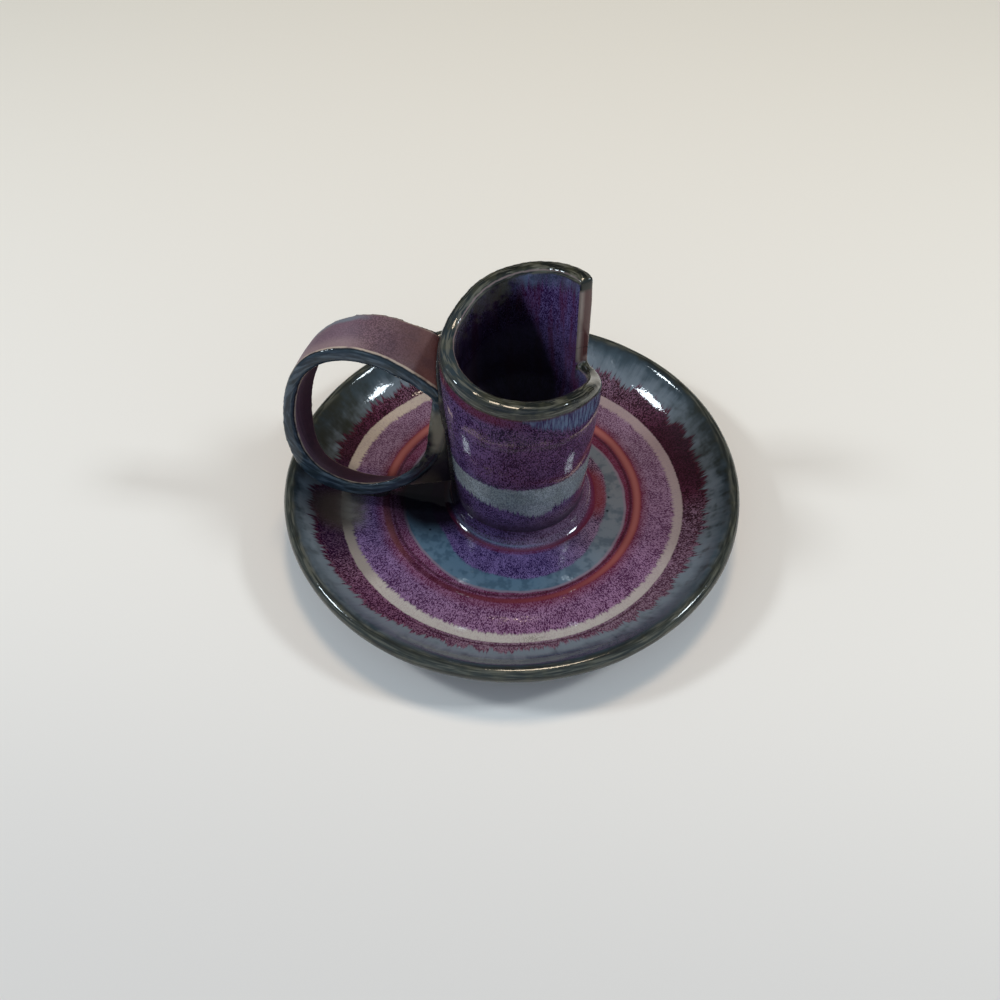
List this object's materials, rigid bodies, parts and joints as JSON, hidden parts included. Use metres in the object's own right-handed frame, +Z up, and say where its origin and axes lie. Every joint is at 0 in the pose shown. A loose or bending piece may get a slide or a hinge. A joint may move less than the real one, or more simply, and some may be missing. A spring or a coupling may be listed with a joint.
{
  "type": "chamberstick with finger loop",
  "caption": "Thrown stoneware chamberstick: a shallow round dish with an upright candle socket whose rim climbs in a spiral to a notch, and a strap loop to carry it by one finger.",
  "frame": {"origin": "middle of the foot ring, on the surface that the dish stands on", "axes": "+Z up along the dish's axis and the candle's; the finger loop reaches out along -X; -Y is the side that the picture is taken from"},
  "size_m": [0.12, 0.12, 0.072],
  "materials": {
    "dish_glaze": "glossy reduction glaze with speckles and runs",
    "socket_glaze": "glossy reduction glaze with speckles and runs",
    "loop_glaze": "glossy reduction glaze with speckles and runs",
    "coil_glaze": "glossy reduction glaze with speckles and runs",
    "slip_clay": "fired slip under glaze"
  },
  "bodies": {
    "root": {"dish": "dish_glaze", "candle_socket": "socket_glaze", "finger_loop": "loop_glaze", "socket_base_coil": "coil_glaze", "socket_slip_ring": "slip_clay", "loop_wall_slip": "slip_clay", "loop_foot_slip": "slip_clay"}
  },
  "joints": []
}
